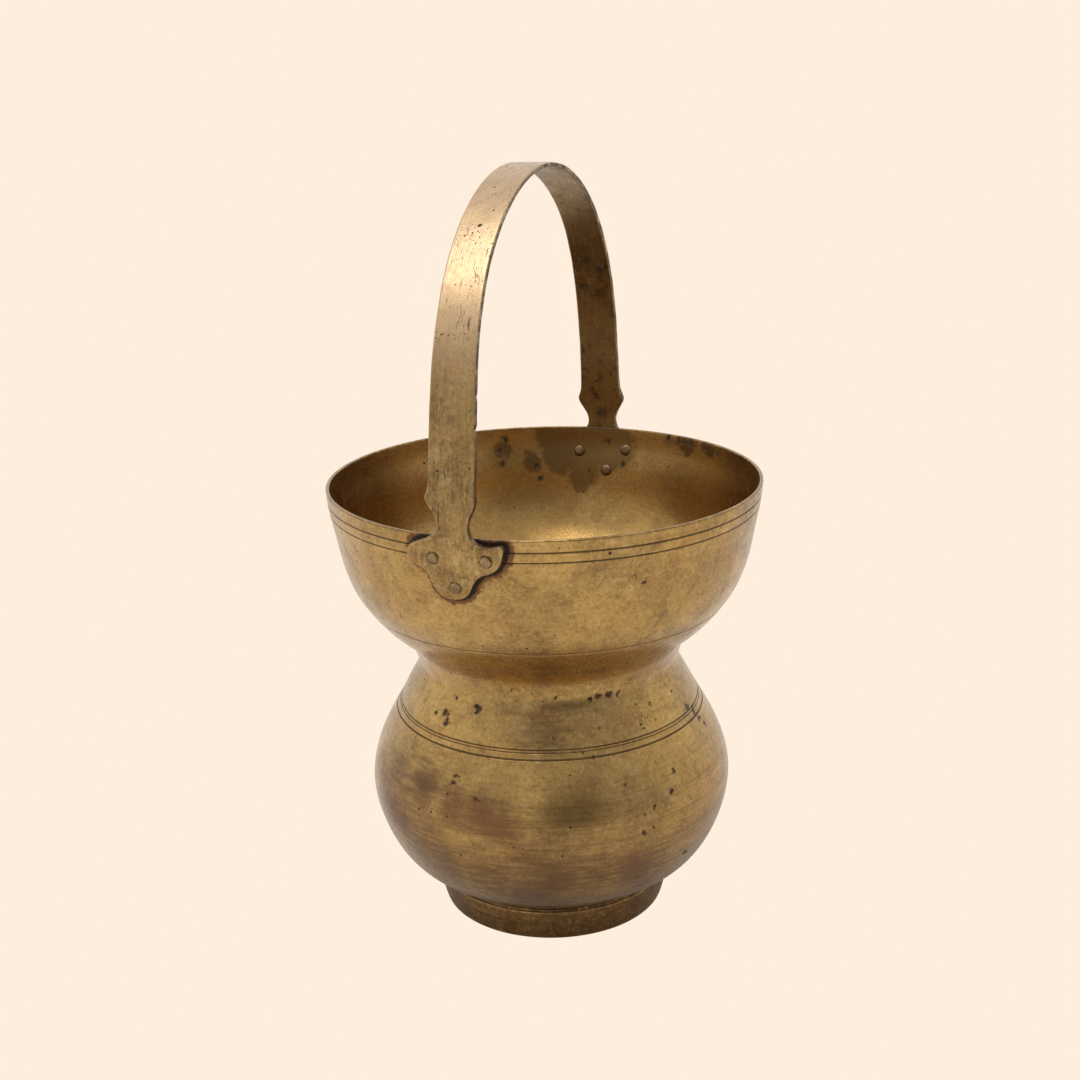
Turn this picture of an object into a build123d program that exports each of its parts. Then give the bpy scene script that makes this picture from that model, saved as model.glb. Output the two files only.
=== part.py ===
from build123d import *
import os

# Brass hourglass vessel with a fixed, riveted strap handle.
#
# Frame: millimetres, +Z up, origin at the centre of the foot ring's resting face.
# The handle's arch stands in a plane along Y: its tangs sit on the bowl's -Y (front) and +Y (back) sides.

# ---- Driving dimensions -------------------------------------------------------------------
RIM_RADIUS = 90.0  # outside of the lip
RIM_HEIGHT = 188.0  # lip above the table
WALL = 1.5  # sheet of bowl and belly
WALL_STEPS = 24  # stations that carry the outside line's shape to the inside
LIP_ROUND = 0.5

WAIST_RADIUS = 55.2  # outside, where bowl and belly meet
WAIST_HEIGHT = 111.0
BELLY_BOTTOM = 7.0  # lowest point of the rounded base, inside the foot

FOOT_HEIGHT = 14.0  # outer top edge
FOOT_RADIUS_LOW = 47.9
FOOT_RADIUS_HIGH = 51.0
FOOT_THICKNESS = 3.0

GROOVE_RADIUS = 0.45  # nose of the tool that cut the lines
SEAM_HALF_WIDTH = 0.8  # half the mouth of the brazed V at the waist
SEAM_DEPTH = 0.9
BRAZE_WIDTH = 1.6  # bead between belly and foot

HANDLE_SHIFT = -3.3  # the handle sits a little off the centre line
HANDLE_TOP = 314.4
HANDLE_CROWN = -3.5  # the arch's highest point lies a little to the front
STRAP_THICK_TOP = 1.9
STRAP_HALF_WIDTH = 8.1  # over the top of the arch
STRAIGHT_TO = 300.0  # height down to which both edges of the strap run level with each other

RIVET_RADIUS = 2.1
RIVET_HEAD_RADIUS = 2.7
RIVET_HEAD_HEIGHT = 1.3
RIVET_HEAD_BED = 0.5  # how far the head's blank starts inside the wall it is trimmed to
RIVET_PROUD = 0.35  # peened end outside the tang
RIVET_LEAN = 12.0  # degrees below level, square to the wall
HOLE_REACH = 9.0  # depth drilled from the tang's face, through the wall

# ---- Outlines as (radius, height) -----------------------------------------------------------
BOWL_OUTLINE = [
    (WAIST_RADIUS, WAIST_HEIGHT),
    (59.0, 121.0),
    (66.7, 128.2),
    (73.9, 136.0),
    (80.6, 146.2),
    (84.8, 158.5),
    (87.2, 170.0),
    (89.2, 180.0),
    (RIM_RADIUS, RIM_HEIGHT),
]
POT_OUTLINE = [
    (0.0, BELLY_BOTTOM),
    (20.0, 8.0),
    (50.0, 15.6),
    (64.5, 25.8),
    (74.6, 44.5),
    (76.9, 58.0),
    (71.9, 78.2),
    (62.2, 96.0),
    (57.9, 104.0),
    (55.6, 108.7),
    (WAIST_RADIUS, WAIST_HEIGHT),
]
BOWL_LINES = [(89.6, 183.0), (89.0, 179.0)]
POT_LINES = [(63.9, 93.2), (65.7, 90.1)]

# Tangs follow the wall outside: (distance from the axis, height) of the strap's two faces.
STRAP_INSIDE = [(84.9, 160.0), (88.4, 175.5), (90.0, 188.0), (89.1, 213.0), (86.8, 238.0), (67.2, 281.8)]
STRAP_OUTSIDE = [(87.8, 159.4), (91.5, 174.9), (93.3, 188.0), (92.3, 213.0), (89.9, 238.0), (68.7, 284.1)]

# The strap's cut edges from the arch down over knop, neck and ear, as (across from its centre
# line, height). They were cut by hand, so no two are alike; the back tang sits a little lower.
FRONT_LOBE = (-1.6, 163.5)
FRONT_RIGHT = [
    (8.3, 284.0), (8.8, 266.0), (9.3, 250.0), (9.6, 238.0), (9.5, 224.0), (9.2, 211.0), (9.0, 205.8),
    (9.1, 202.3), (8.2, 199.0), (6.9, 196.2), (6.2, 193.4), (6.5, 190.3), (7.8, 187.8), (10.4, 186.2),
    (14.4, 185.7), (17.6, 186.4), (18.9, 185.9), (18.8, 183.4), (18.0, 180.4), (16.4, 177.6),
    (13.8, 175.5), (10.8, 174.4), (8.3, 172.9), (6.4, 170.4), (5.1, 167.8), (3.2, 165.3), (0.8, 163.9),
]
FRONT_LEFT = [
    (-7.9, 284.0), (-7.8, 266.0), (-7.8, 250.0), (-7.9, 238.0), (-8.2, 227.0), (-8.6, 216.0),
    (-9.0, 208.6), (-9.6, 205.6), (-10.3, 203.4), (-9.5, 201.2), (-7.8, 198.7), (-6.4, 196.1),
    (-5.9, 193.4), (-6.8, 190.7), (-9.2, 188.6), (-13.0, 186.9), (-16.8, 185.3), (-18.7, 183.4),
    (-18.8, 180.9), (-17.6, 178.4), (-15.2, 176.6), (-12.5, 175.3), (-10.9, 173.4), (-10.3, 170.7),
    (-9.2, 167.7), (-7.4, 165.3), (-4.8, 163.9),
]
BACK_LOBE = (0.2, 160.9)
BACK_RIGHT = [
    (8.2, 284.0), (8.4, 268.0), (8.6, 250.0), (8.7, 232.0), (8.9, 216.0), (9.2, 208.5), (9.9, 204.6),
    (10.9, 201.6), (10.1, 199.0), (8.6, 196.2), (7.4, 193.4), (7.1, 190.8), (7.9, 188.0), (9.9, 185.8),
    (13.4, 184.2), (17.0, 182.7), (18.6, 180.5), (18.4, 178.0), (17.0, 175.6), (14.4, 173.8),
    (11.6, 172.5), (10.1, 170.4), (9.4, 167.7), (8.0, 164.7), (5.7, 162.4), (2.8, 161.2),
]
BACK_LEFT = [
    (-8.3, 284.0), (-8.6, 268.0), (-8.9, 250.0), (-8.9, 232.0), (-8.8, 216.0), (-9.0, 208.5),
    (-9.6, 204.4), (-10.4, 201.3), (-9.4, 198.7), (-7.6, 196.0), (-6.2, 193.2), (-5.8, 190.6),
    (-6.7, 187.8), (-9.4, 185.6), (-13.4, 184.1), (-17.0, 182.9), (-18.6, 180.9), (-18.4, 178.2),
    (-17.0, 175.2), (-14.4, 173.1), (-11.6, 171.9), (-9.4, 170.2), (-8.2, 167.6), (-6.4, 164.4),
    (-3.8, 161.9),
]

# Hand-set rivets: across the vessel, above the table, the tang's face from the axis and the
# bowl's inside radius there.
RIVET_SPOTS = {
    ("front", "left"): (-11.6, 180.4, 92.5, 88.1),
    ("front", "right"): (9.1, 180.4, 92.5, 88.1),
    ("front", "lower"): (-4.1, 168.8, 90.1, 85.6),
    ("back", "left"): (-12.4, 175.7, 91.6, 87.1),
    ("back", "right"): (9.8, 177.2, 91.9, 87.4),
    ("back", "lower"): (0.7, 167.6, 89.8, 85.3),
}
SIDES = {"front": -1, "back": 1}


# ---- Sections -------------------------------------------------------------------------------
def shell_section(outline):
    """Half section of a turned shell: its outside line, a line one wall further in, and level ends."""
    with BuildSketch(Plane.XZ) as section:
        with BuildLine():
            outside = Spline(*outline)
            steps = [i / WALL_STEPS for i in range(WALL_STEPS + 1)]
            stations = [(outside @ u) + (outside % u).rotate(Axis.Z, 90) * WALL for u in steps]
            on_axis = outline[0][0] == 0
            stations[0] = outside @ 0 + (Vector(0, WALL) if on_axis else Vector(-WALL, 0))
            stations[-1] = outside @ 1 - Vector(WALL, 0)
            inside = Spline(*stations)
            Line(outside @ 0, inside @ 0)
            Line(outside @ 1, inside @ 1)
        make_face()
    return section.sketch


def line_section(spot):
    """Section of one incised line."""
    with BuildSketch(Plane.XZ) as section:
        with Locations(spot):
            Circle(GROOVE_RADIUS)
    return section.sketch


def seam_section():
    """Section of the V between bowl and belly, its point inside the wall."""
    with BuildSketch(Plane.XZ) as section:
        with BuildLine():
            Polyline(
                (WAIST_RADIUS - SEAM_DEPTH, WAIST_HEIGHT),
                (WAIST_RADIUS + SEAM_DEPTH, WAIST_HEIGHT - 2 * SEAM_HALF_WIDTH),
                (WAIST_RADIUS + SEAM_DEPTH, WAIST_HEIGHT + 2 * SEAM_HALF_WIDTH),
                close=True,
            )
        make_face()
    return section.sketch


def seam_fill_section():
    """The same V, filled to a shallow hollow that carries on the waist's curve."""
    with BuildSketch(Plane.XZ) as section:
        with BuildLine():
            Polyline(
                (WAIST_RADIUS, WAIST_HEIGHT + SEAM_HALF_WIDTH),
                (WAIST_RADIUS - SEAM_DEPTH, WAIST_HEIGHT),
                (WAIST_RADIUS, WAIST_HEIGHT - SEAM_HALF_WIDTH),
                close=True,
            )
        make_face()
    return section.sketch


def foot_section():
    """Section of the foot ring. Its inner top runs into the belly's wall, which is then cut from it."""
    shelf = FOOT_RADIUS_HIGH - BRAZE_WIDTH
    inside = FOOT_RADIUS_LOW - FOOT_THICKNESS
    with BuildSketch(Plane.XZ) as section:
        with BuildLine():
            Spline((FOOT_RADIUS_LOW, 0), (49.8, 7.0), (FOOT_RADIUS_HIGH, FOOT_HEIGHT))
            Polyline(
                (FOOT_RADIUS_HIGH, FOOT_HEIGHT),
                (shelf, FOOT_HEIGHT),
                (shelf, FOOT_HEIGHT + 2.2),
                (inside, FOOT_HEIGHT + 0.4),
                (inside, 0),
                (FOOT_RADIUS_LOW, 0),
            )
        make_face()
    return section.sketch


def foot_bead_section():
    """Section of the braze bead on the foot ring's shelf. Its top runs into the belly in the same way."""
    shelf = FOOT_RADIUS_HIGH - BRAZE_WIDTH
    with BuildSketch(Plane.XZ) as section:
        with BuildLine():
            Polyline(
                (shelf, FOOT_HEIGHT),
                (shelf + 1.2, FOOT_HEIGHT),
                (shelf + 0.8, FOOT_HEIGHT + 2.4),
                (shelf, FOOT_HEIGHT + 2.2),
                close=True,
            )
        make_face()
    return section.sketch


def strap_side():
    """The handle seen from the side, along X: an arch that thickens towards both tangs."""
    near_inside = [(-y, z) for y, z in STRAP_INSIDE]
    far_inside = STRAP_INSIDE[::-1]
    near_outside = [(-y, z) for y, z in STRAP_OUTSIDE]
    far_outside = STRAP_OUTSIDE[::-1]
    with BuildSketch(Plane.YZ.offset(HANDLE_SHIFT)) as section:
        with BuildLine():
            Spline(*near_outside, (HANDLE_CROWN, HANDLE_TOP), *far_outside)
            Spline(*near_inside, (HANDLE_CROWN, HANDLE_TOP - STRAP_THICK_TOP), *far_inside)
            Line(near_inside[0], near_outside[0])
            Line(far_inside[-1], far_outside[-1])
        make_face()
    return section.sketch


def strap_front(right, left, lobe):
    """One half of the handle seen from the front, along Y: strap, knop, neck, ears and lower lobe."""
    front = Plane.XZ.shift_origin((HANDLE_SHIFT, 0, 0))
    above = HANDLE_TOP + 1
    with BuildSketch(front) as section:
        with BuildLine():
            Polyline(
                (STRAP_HALF_WIDTH, STRAIGHT_TO),
                (STRAP_HALF_WIDTH, above),
                (-STRAP_HALF_WIDTH, above),
                (-STRAP_HALF_WIDTH, STRAIGHT_TO),
            )
            Spline((STRAP_HALF_WIDTH, STRAIGHT_TO), *right, lobe)
            Spline((-STRAP_HALF_WIDTH, STRAIGHT_TO), *left, lobe)
        make_face()
    return section.sketch


def rivet_plane(side, spot):
    """Plane on the tang's face at a rivet, square to the wall and facing out of the bowl."""
    across, height, face, _ = RIVET_SPOTS[side, spot]
    level = Vector(0, SIDES[side], 0)
    outward = level.rotate(Axis.X, -SIDES[side] * RIVET_LEAN)
    return Plane(origin=(across, SIDES[side] * face, height), x_dir=(1, 0, 0), z_dir=outward)


def rivet_grip(side, spot):
    """Length of a rivet from the tang's face to the bowl's inside."""
    across, _, face, wall = RIVET_SPOTS[side, spot]
    return face - (wall**2 - across**2) ** 0.5


RIVET_PLANES = {(side, spot): rivet_plane(side, spot) for side, spot in RIVET_SPOTS}

# ---- Turned shells ---------------------------------------------------------------------------
with BuildPart() as upper_bowl:
    revolve(shell_section(BOWL_OUTLINE), axis=Axis.Z)
    lip = upper_bowl.edges().filter_by(GeomType.CIRCLE).group_by(Axis.Z)[-1]
    fillet(lip, LIP_ROUND)
    for spot in BOWL_LINES:
        revolve(line_section(spot), axis=Axis.Z, mode=Mode.SUBTRACT)
    revolve(seam_section(), axis=Axis.Z, mode=Mode.SUBTRACT)
    for plane in RIVET_PLANES.values():
        with BuildSketch(plane):
            Circle(RIVET_RADIUS)
        extrude(amount=-HOLE_REACH, mode=Mode.SUBTRACT)

with BuildPart() as lower_pot:
    revolve(shell_section(POT_OUTLINE), axis=Axis.Z)
    for spot in POT_LINES:
        revolve(line_section(spot), axis=Axis.Z, mode=Mode.SUBTRACT)
    revolve(seam_section(), axis=Axis.Z, mode=Mode.SUBTRACT)

with BuildPart() as waist_braze:
    revolve(seam_fill_section(), axis=Axis.Z)

with BuildPart() as foot_ring:
    revolve(foot_section(), axis=Axis.Z)
    add(lower_pot.part, mode=Mode.SUBTRACT)

with BuildPart() as foot_braze:
    revolve(foot_bead_section(), axis=Axis.Z)
    add(lower_pot.part, mode=Mode.SUBTRACT)

# ---- Handle: the outlines of its front and back halves, met by the side outline ---------------
with BuildPart() as handle_strap:
    extrude(strap_front(FRONT_RIGHT, FRONT_LEFT, FRONT_LOBE), amount=110)
    extrude(strap_front(BACK_RIGHT, BACK_LEFT, BACK_LOBE), amount=-110)
    extrude(strap_side(), amount=30, both=True, mode=Mode.INTERSECT)
    for plane in RIVET_PLANES.values():
        with BuildSketch(plane.offset(RIVET_PROUD)):
            Circle(RIVET_RADIUS)
        extrude(amount=-HOLE_REACH, mode=Mode.SUBTRACT)
    add(upper_bowl.part, mode=Mode.SUBTRACT)

# ---- Rivets: button head inside the bowl, peened end outside the tang ------------------------
rivets = {}
for (side, spot), plane in RIVET_PLANES.items():
    grip = rivet_grip(side, spot)
    with BuildPart() as rivet:
        with BuildSketch(plane.offset(RIVET_PROUD)):
            Circle(RIVET_RADIUS)
        extrude(amount=-RIVET_PROUD - grip)
        outward = Axis(plane.origin, plane.z_dir)
        chamfer(rivet.edges().filter_by(GeomType.CIRCLE).sort_by(outward)[-1], RIVET_PROUD - 0.1)
        with BuildSketch(plane.offset(RIVET_HEAD_BED - grip)):
            Circle(RIVET_HEAD_RADIUS)
        extrude(amount=-RIVET_HEAD_BED - RIVET_HEAD_HEIGHT)
        fillet(rivet.edges().filter_by(GeomType.CIRCLE).sort_by(outward)[0], RIVET_HEAD_HEIGHT - 0.3)
        add(upper_bowl.part, mode=Mode.SUBTRACT)
    rivets[f"rivet_{side}_{spot}"] = rivet

# ---- Files -----------------------------------------------------------------------------------
PIECES = {
    "upper_bowl": upper_bowl,
    "lower_pot": lower_pot,
    "waist_braze": waist_braze,
    "foot_ring": foot_ring,
    "foot_braze": foot_braze,
    "handle_strap": handle_strap,
    **rivets,
}
os.makedirs("parts", exist_ok=True)
for name, piece in PIECES.items():
    piece.part.label = name
    export_step(piece.part, f"parts/{name}.step")
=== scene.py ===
import math

import bpy
import numpy as np
from mathutils import Matrix, Vector, noise


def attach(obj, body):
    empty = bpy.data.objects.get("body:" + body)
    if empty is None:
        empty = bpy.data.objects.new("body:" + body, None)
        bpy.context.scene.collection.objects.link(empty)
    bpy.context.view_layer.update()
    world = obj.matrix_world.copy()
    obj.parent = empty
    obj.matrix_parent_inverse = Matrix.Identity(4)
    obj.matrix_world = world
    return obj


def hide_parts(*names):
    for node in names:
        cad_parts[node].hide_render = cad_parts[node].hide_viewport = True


# An old brass vessel with a riveted strap handle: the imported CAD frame, dressed with worn turned
# shells, a forged handle, hand-peened rivets and aged brass. Outlines here are in millimetres.
MM = 0.001

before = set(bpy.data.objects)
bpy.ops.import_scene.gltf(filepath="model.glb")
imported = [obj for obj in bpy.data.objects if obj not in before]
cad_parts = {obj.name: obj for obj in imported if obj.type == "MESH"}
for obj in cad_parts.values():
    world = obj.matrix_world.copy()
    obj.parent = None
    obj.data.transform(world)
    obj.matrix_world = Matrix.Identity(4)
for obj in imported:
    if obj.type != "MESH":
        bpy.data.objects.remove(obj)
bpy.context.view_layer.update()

# ---- Outlines, the same as the CAD model's, as (radius, height) --------------------------------
RIM_RADIUS, RIM_HEIGHT, WALL = 90.0, 188.0, 1.5
WAIST_RADIUS, WAIST_HEIGHT = 55.2, 111.0
BELLY_BOTTOM = 7.0
BOWL = [(WAIST_RADIUS, WAIST_HEIGHT), (59.0, 121.0), (66.7, 128.2), (73.9, 136.0), (80.6, 146.2),
        (84.8, 158.5), (87.2, 170.0), (89.2, 180.0), (RIM_RADIUS, RIM_HEIGHT)]
POT = [(0.0, BELLY_BOTTOM), (20.0, 8.0), (50.0, 15.6), (64.5, 25.8), (74.6, 44.5), (76.9, 58.0),
       (71.9, 78.2), (62.2, 96.0), (57.9, 104.0), (55.6, 108.7), (WAIST_RADIUS, WAIST_HEIGHT)]
FOOT_HEIGHT, FOOT_LOW, FOOT_HIGH, FOOT_THICK, BRAZE = 14.0, 47.9, 51.0, 3.0, 1.6
STRAP_OUT = [(87.8, 159.4), (91.5, 174.9), (93.3, 188.0), (92.3, 213.0), (89.9, 238.0), (68.7, 284.1)]
STRAP_IN = [(84.9, 160.0), (88.4, 175.5), (90.0, 188.0), (89.1, 213.0), (86.8, 238.0), (67.2, 281.8)]
CROWN_OUT, CROWN_IN = (-3.5, 314.4), (-3.5, 312.5)
HANDLE_SHIFT = -3.3  # the handle sits a little off the centre line
STRAP_HALF_WIDTH = 8.1  # over the top of the arch
# Each rivet: across from the centre line, height, distance of the tang's face, radius of the wall.
RIVETS = {
    ("front", "left"): (-11.6, 180.4, 92.5, 88.1),
    ("front", "right"): (9.1, 180.4, 92.5, 88.1),
    ("front", "lower"): (-4.1, 168.8, 90.1, 85.6),
    ("back", "left"): (-12.4, 175.7, 91.6, 87.1),
    ("back", "right"): (9.8, 177.2, 91.9, 87.4),
    ("back", "lower"): (0.7, 167.6, 89.8, 85.3),
}
RIVET_RADIUS, HEAD_RADIUS, HEAD_HEIGHT, PROUD = 2.1, 2.7, 1.3, 0.35
LEAN = math.radians(12)  # below level, square to the wall


# ---- Curves -------------------------------------------------------------------------------------
def spline(points):
    """A natural cubic through the points. Returns its function of length and its whole length."""
    pts = np.array(points, float)
    at = np.r_[0, np.cumsum(np.linalg.norm(np.diff(pts, axis=0), axis=1))]
    count, gap = len(at), np.diff(at)
    left, right = np.eye(count), np.zeros_like(pts)
    for i in range(1, count - 1):
        left[i, i - 1 : i + 2] = gap[i - 1], 2 * (gap[i - 1] + gap[i]), gap[i]
        right[i] = 6 * ((pts[i + 1] - pts[i]) / gap[i] - (pts[i] - pts[i - 1]) / gap[i - 1])
    bend = np.linalg.solve(left, right)

    def value(u):
        u = np.clip(np.atleast_1d(u), 0, at[-1])
        i = np.clip(np.searchsorted(at, u, side="right") - 1, 0, count - 2)
        a, b, h = (at[i + 1] - u)[:, None], (u - at[i])[:, None], gap[i][:, None]
        return (bend[i] * a**3 + bend[i + 1] * b**3) / (6 * h) + (
            (pts[i] / h - bend[i] * h / 6) * a + (pts[i + 1] / h - bend[i + 1] * h / 6) * b)

    return value, at[-1]


def normals_2d(line):
    """Unit normals to the left of a 2-D line."""
    d = np.gradient(line, axis=0)
    d /= np.linalg.norm(d, axis=1)[:, None]
    return np.c_[-d[:, 1], d[:, 0]]


def bump_at(x, centre, width):
    """1 at the centre, fading to 0 over a few widths."""
    return np.exp(-(((x - centre) / width) ** 2))


def wobble(points, scale, seed):
    """Smooth noise from -1 to 1 at points in millimetres; scale is the size of its swells."""
    shift = Vector((seed * 17.3, seed * 5.1, seed * 9.7))
    return np.array([noise.noise(Vector(p) / scale + shift) for p in points])


# ---- Meshes -------------------------------------------------------------------------------------
SHARP_FROM = math.radians(50)


def add_mark(mesh, key, values):
    """A number per point, which a material reads by its name."""
    mesh.attributes.new(key, "FLOAT", "POINT").data.foreach_set("value", np.asarray(values, np.float32))


def make_mesh(name, verts, faces, marks=None):
    """A smooth piece from points in millimetres; marks are numbers per point for its material."""
    mesh = bpy.data.meshes.new(name)
    mesh.from_pydata([tuple(v) for v in np.asarray(verts) * MM], [], faces)
    mesh.polygons.foreach_set("use_smooth", [True] * len(mesh.polygons))
    for key, values in (marks or {}).items():
        add_mark(mesh, key, values)
    mesh.validate()
    mesh.update()
    mesh.set_sharp_from_angle(angle=SHARP_FROM)
    piece = bpy.data.objects.new(name, mesh)
    bpy.context.scene.collection.objects.link(piece)
    return piece


def grid_faces(rows, columns, closed_rows):
    """Quads over a grid of rows of points, closed round the columns and, if asked, the rows."""
    faces = []
    for i in range(rows if closed_rows else rows - 1):
        a, b = i * columns, ((i + 1) % rows) * columns
        for j in range(columns):
            k = (j + 1) % columns
            faces.append((a + j, a + k, b + k, b + j))
    return faces


def lathe(name, profile, marks, angle, shape, closed=True):
    """A turned piece from (radius, height) points; points on the axis become one vertex.
    shape gives how far each point moves outwards."""
    segments = len(angle)
    start = 1 if profile[0][0] < 1e-6 else 0
    end = len(profile) - (1 if profile[-1][0] < 1e-6 else 0)
    body = profile[start:end]
    r = np.repeat(body[:, 0], segments)
    z = np.repeat(body[:, 1], segments)
    a = np.tile(angle, len(body))
    verts = np.c_[r * np.cos(a), r * np.sin(a), z]
    shift = shape(verts)
    verts[:, 0] += shift * np.cos(a)
    verts[:, 1] += shift * np.sin(a)
    faces = grid_faces(len(body), segments, closed)
    values = {key: list(np.repeat(np.asarray(v)[start:end], segments)) for key, v in marks.items()}
    verts = list(map(tuple, verts))
    if start:
        verts.append((0, 0, profile[0][1]))
        faces += [(len(verts) - 1, (j + 1) % segments, j) for j in range(segments)]
        for key in values:
            values[key].append(marks[key][0])
    if end < len(profile):
        verts.append((0, 0, profile[-1][1]))
        last = (len(body) - 1) * segments
        faces += [(len(verts) - 1, last + j, last + (j + 1) % segments) for j in range(segments)]
        for key in values:
            values[key].append(marks[key][-1])
    return make_mesh(name, verts, faces, values)


def all_round(coarse, fine=None, reach=0):
    """Angles round the axis in steps of some degrees, finer within reach of the front and back."""
    fine = fine or coarse
    deg, a = [], 0.0
    while a < 360 - 0.3 * fine:
        deg.append(a)
        near = min(abs((a - c + 180) % 360 - 180) for c in (90, 270))
        a += fine if near < reach else coarse
    return np.radians(deg)


def stations(length, step, fine_at=(), reach=1.1, fine=0.13):
    """Places along a line: a plain step, and a fine one near the given places."""
    u = [np.linspace(0, length, max(3, int(length / step) + 1))]
    u += [np.arange(max(0, f - reach), min(length, f + reach), fine) for f in fine_at]
    u = np.unique(np.round(np.concatenate(u), 3))
    keep = [0]
    for i in range(1, len(u)):
        if u[i] - u[keep[-1]] > fine * 0.6:
            keep.append(i)
    return u[keep]


def length_at_height(curve, length, height, low):
    """Where a curve passes a height, looking from a length of low onwards."""
    u = np.linspace(low, length, 4000)
    return u[np.argmin(np.abs(curve(u)[:, 1] - height))]


INSIDE_STEP = 1.8


def shell(outline, lines, step):
    """Outside of a shell with incised lines cut into it, how deep each point is cut, and its inside.
    lines are (height, depth, half width)."""
    curve, length = spline(outline)
    fine_at = [length_at_height(curve, length, h, 0.4 * length) for h, _, _ in lines]
    u = stations(length, step, fine_at)
    outside = curve(u)
    out_n = -normals_2d(outside)  # to the right of the way up: away from the axis
    cut = np.zeros(len(u))
    for place, (_, depth, width) in zip(fine_at, lines):
        cut += depth * bump_at(u, place, width)
    carved = outside - out_n * cut[:, None]
    base = curve(stations(length, INSIDE_STEP))
    inside = base + normals_2d(base) * WALL
    return carved, cut, inside


# ---- Bowl and belly -----------------------------------------------------------------------------
# Incised lines as (height, depth, half width); the two faint ones were left by the turning tool.
BOWL_CUTS = [(183.0, 0.34, 0.26), (179.0, 0.3, 0.24), (132.0, 0.06, 0.4), (115.6, 0.07, 0.4)]
POT_CUTS = [(93.5, 0.26, 0.24), (92.5, 0.2, 0.2), (90.1, 0.36, 0.3)]
FULL_CUT = 0.35  # a line this deep is dark all over
LIP_ROUND = 0.5
CORNER = np.linspace(0, np.pi / 2, 6)


def dents(verts):
    """Hand-made unevenness: in and out over the flanks, only inwards near the rim."""
    soft = wobble(verts, 42.0, 1) * 0.16 + wobble(verts, 17.0, 2) * 0.07
    fade = np.clip(np.hypot(verts[:, 0], verts[:, 1]) / 30, 0, 1)
    return (soft - 0.24 * np.clip((verts[:, 2] - 160) / 15, 0, 1)) * fade


def make_bowl():
    out, cut, ins = shell(BOWL, BOWL_CUTS, 1.0)
    out = out[out[:, 1] < RIM_HEIGHT - LIP_ROUND - 0.05]
    cut = cut[: len(out)]
    lip = RIM_RADIUS - 0.02
    turn_r, turn_z = LIP_ROUND * np.cos(CORNER), LIP_ROUND * np.sin(CORNER)
    lip_out = np.c_[lip - LIP_ROUND + turn_r, RIM_HEIGHT - LIP_ROUND + turn_z]
    lip_in = np.c_[lip - WALL + LIP_ROUND - turn_z, RIM_HEIGHT - LIP_ROUND + turn_r]
    ins = ins[(ins[:, 1] < RIM_HEIGHT - LIP_ROUND - 0.1) & (ins[:, 1] > WAIST_HEIGHT + 0.1)][::-1]
    profile = np.vstack([out, lip_out, lip_in, ins, [[WAIST_RADIUS - WALL, WAIST_HEIGHT]]])
    n_out, n_turn, n_in = len(out), len(CORNER), len(ins) + 1
    return lathe("bowl", profile, {
        "groove": np.r_[np.clip(cut / FULL_CUT, 0, 1), np.zeros(2 * n_turn + n_in)],
        "edge": np.r_[np.zeros(n_out), np.ones(2 * n_turn), np.zeros(n_in)],
        "inner": np.r_[np.zeros(n_out + n_turn), np.full(n_turn, 0.5), np.ones(n_in)],
    }, all_round(0.95, 0.34, 15), dents)


def make_pot():
    out, cut, ins = shell(POT, POT_CUTS, 1.2)
    floor_top = [[0.0, BELLY_BOTTOM + WALL]]
    profile = np.vstack([out, [[WAIST_RADIUS - WALL, WAIST_HEIGHT]], ins[1:-1][::-1], floor_top])
    profile[0, 0] = 0.0
    n_out, n_in = len(out), len(ins)
    return lathe("pot", profile, {
        "groove": np.r_[np.clip(cut / FULL_CUT, 0, 1), np.zeros(n_in)],
        "edge": np.zeros(n_out + n_in),
        "inner": np.r_[np.zeros(n_out), np.ones(n_in)],
    }, all_round(0.95), dents, closed=False)


bowl, pot = make_bowl(), make_pot()

# ---- Waist seam and foot ------------------------------------------------------------------------
def ring_marks(count, groove):
    """A bead's marks: no edges, not inside, and as dark as groove says."""
    return {"groove": np.full(count, groove), "edge": np.zeros(count), "inner": np.zeros(count)}


def make_seam():
    t = np.linspace(0, 2 * np.pi, 14, endpoint=False)
    profile = np.c_[WAIST_RADIUS - 0.5 + 0.46 * np.cos(t), WAIST_HEIGHT + 0.5 * np.sin(t)]
    return lathe("waist_seam", profile, ring_marks(len(t), 0.0), all_round(1.2), dents)


def foot_dents(verts):
    return wobble(verts, 26.0, 3) * 0.12 + wobble(verts, 9.0, 4) * 0.05 - 0.17


def make_foot():
    curve, length = spline([(FOOT_LOW, 0.0), (49.8, 7.0), (FOOT_HIGH, FOOT_HEIGHT)])
    side = curve(np.linspace(0, length, 26))
    side = side[(side[:, 1] > 0.7) & (side[:, 1] < FOOT_HEIGHT - 0.6)]
    low_round = np.c_[FOOT_LOW - 0.6 + 0.7 * np.sin(CORNER), 0.7 - 0.7 * np.cos(CORNER)]
    high_round = np.c_[FOOT_HIGH - 0.6 + 0.55 * np.cos(CORNER), FOOT_HEIGHT - 0.6 + 0.6 * np.sin(CORNER)]
    shelf = [[FOOT_HIGH - BRAZE, FOOT_HEIGHT], [FOOT_HIGH - BRAZE - 0.4, FOOT_HEIGHT + 1.2]]
    hollow = FOOT_LOW - FOOT_THICK
    inner = [[hollow, 13.6], [hollow, 9.0], [hollow, 5.0], [hollow, 1.0],
             [hollow + 0.3, 0.2], [hollow + 0.8, 0.0], [hollow + 1.6, 0.0]]
    profile = np.vstack([low_round, side, high_round, shelf, inner])
    n_turn, n_side, n_in = len(CORNER), len(side), len(inner)
    return lathe("foot", profile, {
        "groove": np.r_[np.zeros(2 * n_turn + n_side), [1, 1], np.full(n_in, 0.4)],
        "edge": np.r_[np.full(n_turn, 0.8), np.zeros(n_side), np.ones(n_turn), np.zeros(2 + n_in)],
        "inner": np.zeros(len(profile)),
    }, all_round(0.7), foot_dents)


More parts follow.
